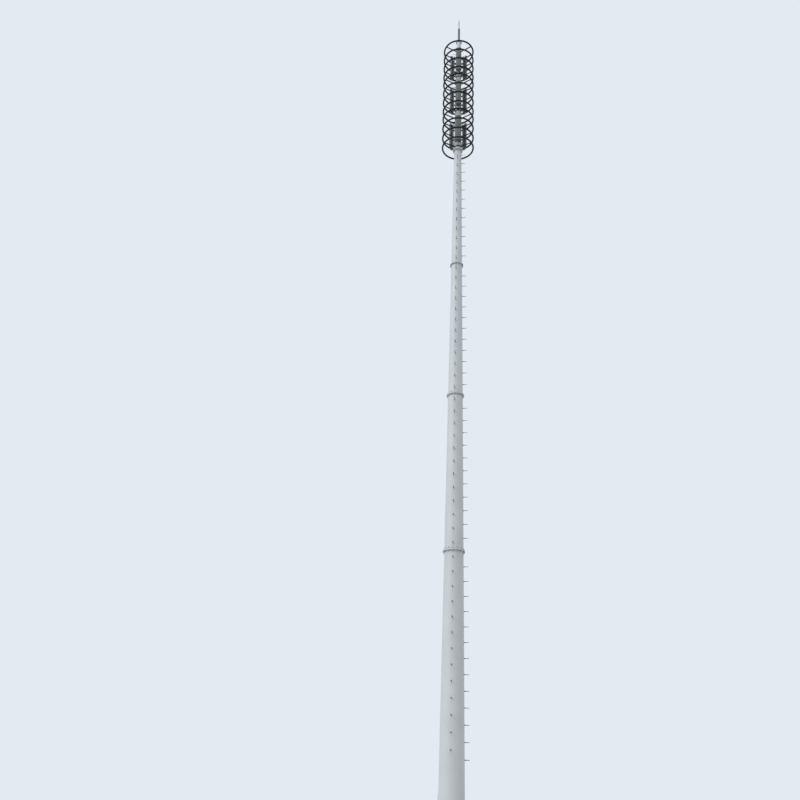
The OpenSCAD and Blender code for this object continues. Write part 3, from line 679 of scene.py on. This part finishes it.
def near_black_satin_paint():
    """Satin machinery paint on tube. It gives a deep neutral black that is chalked in patches and
    chipped here and there, with pale dust on what faces up. Chalked paint mirrors less than fresh
    paint, so its specular level is low."""
    colours = bpy.context.scene.tower_finishes
    material, tree, place = new_finish("near_black_satin_paint")
    facing = add(tree, "ShaderNodeNewGeometry").outputs["Normal"]
    up = add(tree, "ShaderNodeSeparateXYZ", {"Vector": facing}).outputs["Z"]
    shelf = add(tree, "ShaderNodeMapRange", {"Value": up, "From Min": 0.5, "From Max": 0.95})
    # Dust patches 40 mm across, chalking 90 mm across
    amount = blotches(tree, place, 40, (0.3, 0.75), detail=6.0, roughness=0.65)
    for share in (shelf, 0.45):
        amount = add(tree, "ShaderNodeMath", {0: amount, 1: share}, operation="MULTIPLY")
    tone, gloss = (blotches(tree, place, 90, (0.3, 0.7), values, detail=4.0)
                   for values in ((0.8, 1.25), (0.38, 0.52)))
    # Chips 3 mm across that bare the zinc primer, in worn places 120 mm across
    worn, chips = blotches(tree, place, 120, (0.5, 0.62)), blotches(tree, place, 4, (0.66, 0.68))
    bare = add(tree, "ShaderNodeMath", {0: worn, 1: chips}, operation="MULTIPLY")
    base = layers(tree, colours.cage, tone, [(amount, colours.dust), (bare, colours.primer)])
    dull = add(tree, "ShaderNodeMath", {0: amount, 1: 0.6, 2: gloss}, operation="MULTIPLY_ADD")
    return end_finish(material, {
        "Base Color": base, "Roughness": dull, "Specular IOR Level": 0.25,
        "Normal": skin(tree, place, 2.5, 0.3, 0.0002)})


def hot_dip_galvanised_steel(name, spangle_mm, shade):
    """Zinc from a dip bath, some winters old. It gives a dull grey metal in angular crystals, each
    with a tone and a gloss of its own, under a thin bloom of white rust. The shade scales all its
    colours. Under 1 the zinc is darker, partly from boots, soot or years and partly as painted
    shade. Over 1 it is lighter, partly as fresh zinc and partly as painted light."""
    colours = bpy.context.scene.tower_finishes
    dark, pale, rust = (
        tuple(shade * c for c in tone[:3]) + (1.0,)
        for tone in (colours.zinc_dark, colours.zinc_pale, colours.white_rust))
    material, tree, place = new_finish(name)
    crystal = add(tree, "ShaderNodeTexVoronoi", {"Vector": place, "Scale": per_metre(spangle_mm),
                                                 "Randomness": 1.0})
    tint = add(tree, "ShaderNodeSeparateColor", {"Color": crystal.outputs["Color"]}).outputs
    white = blotches(tree, place, 35, (0.5, 0.8), (0.0, 0.5), detail=7.0, roughness=0.7)
    gloss = add(tree, "ShaderNodeMapRange", {"Value": tint["Green"], "To Min": 0.42,
                                             "To Max": 0.62})
    dull = add(tree, "ShaderNodeMath", {0: white, 1: 0.4, 2: gloss}, operation="MULTIPLY_ADD")
    return end_finish(material, {
        "Base Color": layers(tree, dark, 1.0, [(tint["Red"], pale), (white, rust)]),
        "Roughness": dull, "Metallic": 1.0,
        "Normal": skin(tree, place, 1.2, 0.3, 0.0001, detail=3.0)})


def glass_fibre_radome(tier):
    """Pultruded glass fibre, gone matt in the sun, with moulded end caps and nickel-plated
    connectors. It gives a grey-green that is streaked along its length, and darker plastic at both
    ends."""
    colours = bpy.context.scene.tower_finishes
    material, tree, place = new_finish("glass_fibre_radome_" + TIERS[tier])
    height = add(tree, "ShaderNodeSeparateXYZ", {"Vector": place}).outputs["Z"]
    middle = add(tree, "ShaderNodeMath", {0: height, 1: TIER_Z[tier]}, operation="SUBTRACT")
    away = add(tree, "ShaderNodeMath", {0: middle}, operation="ABSOLUTE")
    capped = add(tree, "ShaderNodeMath", {0: away, 1: ANTENNA_HALF}, operation="GREATER_THAN")
    plated = add(tree, "ShaderNodeMath", {0: middle, 1: -ANTENNA_HALF - END_CAP_T - CLOSE},
                 operation="LESS_THAN")
    # Glass rovings 2 mm wide that run the whole length, and weather marks 25 mm wide
    fibre, rain = (
        add(tree, "ShaderNodeTexNoise",
            {"Vector": add(tree, "ShaderNodeMapping", {"Vector": place, "Scale": (1, 1, squash)}),
             "Scale": per_metre(size_mm), "Detail": detail})
        for size_mm, squash, detail in ((2, 0.01, 3.0), (25, 0.06, 5.0)))
    both = add(tree, "ShaderNodeMath", {0: fibre, 1: rain}, operation="ADD")
    tone = add(tree, "ShaderNodeMapRange", {"Value": both, "From Min": 0.7, "From Max": 1.3,
                                            "To Min": 0.8, "To Max": 1.2})
    base = layers(tree, colours.radome, tone,
                  [(capped, colours.end_cap), (plated, colours.nickel)])
    gloss = add(tree, "ShaderNodeMapRange", {"Value": rain, "To Min": 0.45, "To Max": 0.75})
    shine = add(tree, "ShaderNodeMix", {"Factor": plated, "A": gloss, "B": 0.3},
                data_type="FLOAT")
    bump = add(tree, "ShaderNodeBump", {"Height": fibre, "Strength": 0.2, "Distance": 0.0001})
    return end_finish(material, {"Base Color": base, "Roughness": shine, "Normal": bump,
                                 "Metallic": plated})


# Crystal size in millimetres and shade of each zinc finish. The fasteners' zinc is lightened,
# partly as painted light against the shade under the flanges. The step bolts' and mast's zinc is
# darkened, partly by weathering and partly as painted shade.
ZINC = {"galvanised_plate": (6, 1.0), "galvanised_fasteners": (3, 1.25),
        "darkened_zinc_steps": (3, 0.35), "darkened_zinc_mast": (6, 0.45)}


def finish(name):
    """The material of that name, made when it is first asked for"""
    found = bpy.data.materials.get(name)
    if found:
        return found
    if name in ZINC:
        return hot_dip_galvanised_steel(name, *ZINC[name])
    if name.startswith("glass_fibre_radome_"):
        return glass_fibre_radome(TIERS.index(name.rsplit("_", 1)[1]))
    return {"off_white_gloss_paint": off_white_gloss_paint,
            "near_black_satin_paint": near_black_satin_paint}[name]()


# ---- the tower's pieces, one operator for each group

class TOWER_OT_finishes(bpy.types.Operator):
    """Gives every packed node its paint, metal or glass fibre"""
    bl_idname = "tower.finishes"
    bl_label = "Finishes of the packed nodes"

    def execute(self, context):
        coats = {"shaft_paint": "off_white_gloss_paint", "cage_paint": "near_black_satin_paint",
                 "galvanised_steel": "galvanised_plate"}
        slots = {s["node"]: s["material_slot"] for s in frame["record"]["subparts"]}
        for node, piece in NODES.items():
            coat = coats.get(slots[node]) or "glass_fibre_radome_" + node.split("_")[1]
            # The step bolts and the mast take zinc that is darkened partly by weathering and partly
            # as painted shade
            if node.startswith("step_bolts"):
                coat = "darkened_zinc_steps"
            elif node.startswith("lightning"):
                coat = "darkened_zinc_mast"
            piece.data.materials.clear()
            piece.data.materials.append(finish(coat))
        return {"FINISHED"}


class TOWER_OT_foot(bpy.types.Operator):
    """Welds the shaft and the gussets to the base flange"""
    bl_idname = "tower.foot"
    bl_label = "Welds of the foot"

    def execute(self, context):
        sizes = context.scene.tower_welds
        foot = reach("base_flange", FOOT_Z) - RIB_LIP / 2
        gussets = [rib_path((k + 0.5) * 360 / GUSSETS, FOOT_Z, 1, GUSSET_H, GUSSET_T, foot,
                            shaft_r) for k in range(GUSSETS)]
        welds("base_gusset_welds", gussets, "off_white_gloss_paint", GUSSET_BEAD * sizes.rib_bead)
        welds("base_foot_weld", [ring_path(FOOT_R, FOOT_Z)], "off_white_gloss_paint",
              sizes.foot_bead)
        return {"FINISHED"}


class TOWER_OT_section_joints(bpy.types.Operator):
    """Bolts the section joints and welds their flanges, ribs and long seams"""
    bl_idname = "tower.section_joints"
    bl_label = "Section joints"

    def execute(self, context):
        sizes = context.scene.tower_welds
        spots, rings, ribs = [], [], []
        for k, z in enumerate(JOINTS):
            rim, plate = joint_flange(k)
            holes = joint_holes(k)
            if len(holes) < FEWEST_HOLES:
                raise RuntimeError(f"joint {k + 1} has {len(holes)} bolt holes")
            spots += [((h.x, h.y, z - plate), (0, 0, -1)) for h in holes]
            for way in (-1, 1):
                face = z + way * plate
                rings.append(ring_path(shaft_r(face), face))
                ribs += [rib_path((j + 0.5) * 360 / len(holes), face, way, RIB_H, RIB_T,
                                  rim - RIB_LIP / 2, shaft_r) for j in range(len(holes))]
        bolts("joint_bolts", spots, thread=context.scene.tower_fasteners.joint_thread,
              grip=2 * plate)
        welds("joint_flange_welds", rings, "off_white_gloss_paint", sizes.flange_bead)
        welds("joint_rib_welds", ribs, "off_white_gloss_paint", sizes.rib_bead)
        # A machine lays the seams, so they hardly ripple
        levels = [FOOT_Z] + JOINTS + [TOP_Z]
        seams = [([at(turn, shaft_r(z) - SEAM_SINK * sizes.seam_bead, 0, z)
                   for z in (low + SEAM_END, high - SEAM_END)], False)
                 for low, high, turn in zip(levels, levels[1:], SEAM_TURNS)]
        welds("section_seam_welds", seams, "off_white_gloss_paint", sizes.seam_bead, ripple=0.03,
              ripple_depth=0.0, unevenness=0.03)
        return {"FINISHED"}


class TOWER_OT_hatch(bpy.types.Operator):
    """Screws the hatch cover on and welds its frame into the shaft"""
    bl_idname = "tower.hatch"
    bl_label = "Access hatch"

    def execute(self, context):
        straight = (HATCH_H - HATCH_W) / 2
        turn = Matrix.Rotation(math.radians(-HATCH_TURN), 3, "Z")
        face = max((turn @ p).x for p in corners("hatch_cover") if abs(p.z - HATCH_Z) > straight)
        rims = []
        for p in corners("hatch_cover"):
            local = turn @ p
            up = max(abs(local.z - HATCH_Z) - straight, 0)
            inwards = HATCH_W / 2 - math.hypot(local.y, up)
            if abs(local.x - face) < CLOSE and HATCH_RIM_MIN < inwards < HATCH_RIM_MAX:
                rims.append(p)
        spots = [(m, at(HATCH_TURN, 1, 0, 0)) for m in hole_middles(rims, HATCH_HOLE)]
        bolts("hatch_screws", spots, nut=False, thread=context.scene.tower_fasteners.hatch_thread)
        welds("hatch_frame_weld", [hatch_path()], "off_white_gloss_paint",
              HATCH_BEAD * context.scene.tower_welds.fine_bead)
        return {"FINISHED"}


class TOWER_OT_step_bolts(bpy.types.Operator):
    """Locks each step bolt in its socket by a nut, shows its thread and welds the socket on"""
    bl_idname = "tower.step_bolts"
    bl_label = "Step bolts"

    def execute(self, context):
        found = step_bolts()
        spots = [(at(turn, shaft_r(z) + SOCKET_LEN, 0, z), -at(turn, 1, 0, 0)) for turn, z in found]
        # The lock nuts take the same zinc, darkened partly as painted shade
        bolts("step_bolt_lock_nuts", spots, "darkened_zinc_steps", head=False, washers=False,
              thread=PROUD_THREAD * context.scene.tower_fasteners.step_thread, grip=0.0,
              thread_turns=7)
        welds("step_socket_welds", [socket_path(turn, z) for turn, z in found],
              "off_white_gloss_paint", context.scene.tower_welds.fine_bead)
        return {"FINISHED"}


class TOWER_OT_cage(bpy.types.Operator):
    """Welds the hoops' tubes, the arms' coped ends and their slots, and bolts the collars' ears"""
    bl_idname = "tower.cage"
    bl_label = "Hoop cage"

    def execute(self, context):
        sizes = context.scene.tower_welds
        butts, copes, slots, spots = [], [], [], []
        half, high = TONGUE_T / 2, math.sqrt(ARM_R ** 2 - TONGUE_T ** 2 / 4)
        for i, z in enumerate(HOOP_Z):
            turn = BUTT_TURNS[i % len(BUTT_TURNS)]
            butts += [butt_path(turn, z), butt_path(turn + 180, z)]
            start = collar_r(z) + EAR_LEN + ARM_GAP
            end = start + ARM_GRIP
            for turn in ARM_TURNS:
                copes.append(cope_path(turn, z))
                slots += [([at(turn, out, side, z + up) for out, side in
                            ((start, half), (end, half), (end, -half), (start, -half))], False)
                          for up in (-high, high)]
        levels = [(z, ARM_TURNS) for z in HOOP_Z]
        levels += [(z + m, ANTENNA_TURNS) for z in TIER_Z for m in (-HOOP_PITCH, HOOP_PITCH)]
        for z, turns in levels:
            for turn in turns:
                spots += [(at(turn, collar_r(z) + COLLAR_BOLT_OUT, half + EAR_T, z + up),
                           at(turn, 0, 1, 0)) for up in (-COLLAR_BOLT_UP, COLLAR_BOLT_UP)]
        welds("hoop_butt_welds", butts, "near_black_satin_paint", sizes.fine_bead)
        welds("hoop_arm_welds", copes, "near_black_satin_paint", sizes.fine_bead)
        welds("arm_slot_welds", slots, "near_black_satin_paint", SLOT_BEAD * sizes.fine_bead)
        bolts("collar_bolts", spots, thread=context.scene.tower_fasteners.collar_thread,
              grip=TONGUE_T + 2 * EAR_T)
        return {"FINISHED"}


class TOWER_OT_antennas(bpy.types.Operator):
    """Clamps the brackets on the pipes and the antennas, and threads the cable connectors"""
    bl_idname = "tower.antennas"
    bl_label = "Antennas"

    def execute(self, context):
        threads = context.scene.tower_fasteners
        clamps, plates, connectors, caps, tongues = [], [], [], [], []
        edge = PIPE_AXIS - math.sqrt(PIPE_R ** 2 - TONGUE_T ** 2 / 4)
        for z, turn in product(TIER_Z, ANTENNA_TURNS):
            out, left = at(turn, 1, 0, 0), at(turn, 0, 1, 0)
            for level in (z - BRACKET_Z, z + BRACKET_Z):
                for up in (level - BRACKET_BOLT_UP, level + BRACKET_BOLT_UP):
                    clamps.append((at(turn, PIPE_AXIS + CLAMP_BOLT_OUT, PIPE_R + BRACKET_T, up),
                                   left))
                    for way in (-1, 1):
                        side = way * (BRACKET_W / 2 - PLATE_SCREW_IN)
                        plates.append((at(turn, ANTENNA_BACK - BRACKET_T, side, up), -out))
            for k in range(CONNECTORS):
                side = (k - (CONNECTORS - 1) / 2) * CONNECTOR_PITCH
                connectors.append((at(turn, ANTENNA_BACK + ANTENNA_DEPTH / 2, side,
                                      z - ANTENNA_HALF - END_CAP_T), (0, 0, 1)))
            for way, hand in product((-1, 1), (-1, 1)):
                level = z + way * (ANTENNA_HALF + END_CAP_T / 2)
                side = hand * (ANTENNA_W / 2 + END_CAP_LIP)
                caps += [(at(turn, ANTENNA_BACK + along, side, level), hand * left)
                         for along in CAP_SCREWS_OUT]
            for level, hand in product((z - HOOP_PITCH, z + HOOP_PITCH), (-1, 1)):
                tongues.append(([at(turn, edge, hand * TONGUE_T / 2, level + up)
                                 for up in (-TONGUE_H / 2, TONGUE_H / 2)], False))
        bolts("bracket_clamp_bolts", clamps, thread=threads.clamp_thread,
              grip=2 * (PIPE_R + BRACKET_T), shank=True)
        bolts("bracket_plate_screws", plates, thread=threads.plate_thread, nut=False)
        bolts("connector_threads", connectors, thread=threads.connector_thread, grip=0.0,
              head=False, washers=False, nut_height=0.25, thread_turns=5)
        bolts("end_cap_screws", caps, thread=threads.cap_thread, nut=False)
        welds("pipe_tongue_welds", tongues, "galvanised_plate",
              context.scene.tower_welds.fine_bead)
        return {"FINISHED"}


class TOWER_OT_lightning_mast(bpy.types.Operator):
    """Bolts the lightning mast on the cap plate and welds its foot"""
    bl_idname = "tower.lightning_mast"
    bl_label = "Lightning mast"

    def execute(self, context):
        sizes = context.scene.tower_welds
        cap_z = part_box("lightning_mast")[0].z
        flange_z = cap_z + MAST_FLANGE_T
        rim = reach("lightning_mast", cap_z)
        rims = [p for p in corners("lightning_mast")
                if abs(p.z - cap_z) < CLOSE and MAST_R < p.xy.length < rim - 10 * CLOSE]
        spots = [((h.x, h.y, flange_z), (0, 0, 1)) for h in hole_middles(rims, MAST_HOLE)]
        bolts("mast_foot_bolts", spots, thread=context.scene.tower_fasteners.mast_thread,
              grip=flange_z - TOP_Z)
        ribs = [rib_path(360 * k / MAST_RIBS, flange_z, 1, MAST_RIB_H, RIB_T, rim - RIB_LIP / 2,
                         lambda z: MAST_R) for k in range(MAST_RIBS)]
        # The mast's foot welds take the mast's zinc, darkened partly as painted shade
        welds("mast_foot_welds", ribs + [ring_path(MAST_R, flange_z)], "darkened_zinc_mast",
              sizes.rib_bead)
        welds("pole_cap_weld", [ring_path(TOP_R, TOP_Z)], "off_white_gloss_paint", sizes.rib_bead)
        return {"FINISHED"}


def backdrop_rays(tree):
    """The rays that see the plain colour of the floor or backdrop: the camera's, and those that
    metal and gloss mirror"""
    rays = add(tree, "ShaderNodeLightPath").outputs
    seen = rays["Is Camera Ray"]
    for kind in ("Is Glossy Ray", "Is Transmission Ray"):
        seen = add(tree, "ShaderNodeMath", {0: seen, 1: rays[kind]}, operation="MAXIMUM")
    return seen


class TOWER_OT_stage(bpy.types.Operator):
    """Sets the camera, the soft light, the plain floor and the backdrop"""
    bl_idname = "tower.stage"
    bl_label = "Stage"

    def execute(self, context):
        scene, settings = context.scene, context.scene.tower_stage
        scene.view_settings.view_transform = "Standard"
        lens = bpy.data.cameras.new("camera")
        lens.sensor_width, lens.lens, lens.clip_end = SENSOR_W, settings.lens, VIEW_END
        camera = bpy.data.objects.new("camera", lens)
        camera.matrix_world = (
            Matrix.Translation((0, -settings.camera_away, settings.camera_height))
            @ Matrix.Rotation(settings.heading, 4, "Z")
            @ Matrix.Rotation(math.pi / 2 + settings.pitch, 4, "X")
            @ Matrix.Rotation(settings.roll, 4, "Z"))
        scene.collection.objects.link(camera)
        scene.camera = camera

        lamp = bpy.data.lights.new("key_light", "SUN")
        lamp.energy, lamp.angle = settings.key, settings.softness
        key = bpy.data.objects.new("key_light", lamp)
        key.rotation_euler = Vector(KEY_FROM).to_track_quat("Z", "Y").to_euler()
        scene.collection.objects.link(key)

        # The even light is white, and only what the camera and reflections see is the backdrop
        world = bpy.data.worlds.new("studio")
        scene.world = world
        world.use_nodes = True
        tree = world.node_tree
        tree.nodes.clear()
        fill, behind = (add(tree, "ShaderNodeBackground", {"Color": tint, "Strength": strength})
                        for tint, strength in (((1, 1, 1, 1), settings.fill),
                                               (tuple(settings.backdrop), 1.0)))
        mixed = add(tree, "ShaderNodeMixShader", {0: backdrop_rays(tree), 1: fill, 2: behind})
        add(tree, "ShaderNodeOutputWorld", {"Surface": mixed})

        mesh = bpy.data.meshes.new("floor")
        mesh.from_pydata(ring_path(settings.floor_radius, -FLOOR_DROP, FLOOR_STEPS)[0], [],
                         [range(FLOOR_STEPS)])
        floor = bpy.data.objects.new("floor", mesh)
        scene.collection.objects.link(floor)
        material, tree, _ = new_finish("matt_studio_floor")
        tone = add(tree, "ShaderNodeMix", {"Factor": backdrop_rays(tree),
                                           "A": tuple(settings.bounce),
                                           "B": tuple(settings.floor)}, data_type="RGBA")
        mesh.materials.append(end_finish(material, {"Base Color": tone, "Roughness": 1.0,
                                                    "Specular IOR Level": 0.0}))
        return {"FINISHED"}


OPERATORS = (TOWER_OT_stage, TOWER_OT_finishes, TOWER_OT_foot, TOWER_OT_section_joints,
             TOWER_OT_hatch, TOWER_OT_step_bolts, TOWER_OT_cage, TOWER_OT_antennas,
             TOWER_OT_lightning_mast)
SETTINGS = {"tower_fasteners": TowerFasteners, "tower_welds": TowerWelds,
            "tower_finishes": TowerFinishes, "tower_stage": TowerStage}


class TOWER_PT_panel(bpy.types.Panel):
    """Lists the tower's steps and their settings"""
    bl_idname = "TOWER_PT_panel"
    bl_label = "Monopole Cell Tower"
    bl_space_type = "VIEW_3D"
    bl_region_type = "UI"
    bl_category = "Tower"

    def draw(self, context):
        for operator in OPERATORS:
            self.layout.operator(operator.bl_idname)
        for name, group in SETTINGS.items():
            box = self.layout.box()
            box.label(text=group.__doc__)
            for key in group.__annotations__:
                box.prop(getattr(context.scene, name), key)


def register():
    for cls in (*SETTINGS.values(), *OPERATORS, TOWER_PT_panel):
        bpy.utils.register_class(cls)
    for name, group in SETTINGS.items():
        setattr(bpy.types.Scene, name, PointerProperty(type=group))


def unregister():
    for name in SETTINGS:
        delattr(bpy.types.Scene, name)
    for cls in reversed((*SETTINGS.values(), *OPERATORS, TOWER_PT_panel)):
        bpy.utils.unregister_class(cls)


def main():
    register()
    bpy.ops.tower.stage()
    bpy.ops.tower.finishes()
    bpy.ops.tower.foot()
    bpy.ops.tower.section_joints()
    bpy.ops.tower.hatch()
    bpy.ops.tower.step_bolts()
    bpy.ops.tower.cage()
    bpy.ops.tower.antennas()
    bpy.ops.tower.lightning_mast()


if __name__ == "__main__":
    main()
